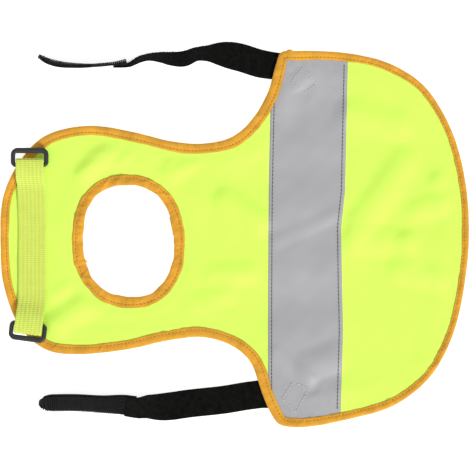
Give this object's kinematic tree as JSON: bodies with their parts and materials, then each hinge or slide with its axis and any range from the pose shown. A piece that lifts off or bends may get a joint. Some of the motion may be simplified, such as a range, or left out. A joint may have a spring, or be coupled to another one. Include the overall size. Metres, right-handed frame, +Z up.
{
  "type": "chicken safety vest",
  "caption": "Flat hi-vis cloth vest for a hen: bound saddle and bib with neck hole, reflective band, webbing with plastic rings, hook-and-loop straps.",
  "frame": {"origin": "middle of the box at the surface the vest lies on", "axes": "+X from the bib to the tail, +Y to the bird's right side, +Z up from the surface"},
  "size_m": [0.3124, 0.257, 0.0187],
  "materials": {
    "cloth": "fluorescent yellow plain-woven polyester",
    "reflective": "grey retroreflective tape, satin",
    "binding": "orange woven bias binding",
    "webbing": "pale yellow-green ribbed webbing",
    "plastic": "black moulded plastic, satin",
    "loop": "black napped loop tape",
    "hook": "black nylon hook tape"
  },
  "bodies": {
    "vest": {"body_panel": "cloth", "reflective_tape": "reflective", "outer_binding": "binding", "neck_binding": "binding", "chest_webbing": "webbing", "strap_right_loop": "loop", "strap_right_hook": "hook", "strap_left_loop": "loop", "strap_left_hook": "hook"},
    "ring_right": {"ring_right": "plastic"},
    "ring_left": {"ring_left": "plastic"}
  },
  "joints": [
    {"name": "ring_right_swing", "type": "hinge", "parent": "vest", "child": "ring_right", "pos_m": [-0.13658, 0.04612, 0.0065], "axis": [1, 0, 0], "range_deg": [0, 150]},
    {"name": "ring_left_swing", "type": "hinge", "parent": "vest", "child": "ring_left", "pos_m": [-0.13718, -0.05958, 0.0065], "axis": [-0.9914, 0.1305, 0], "range_deg": [0, 150]}
  ]
}
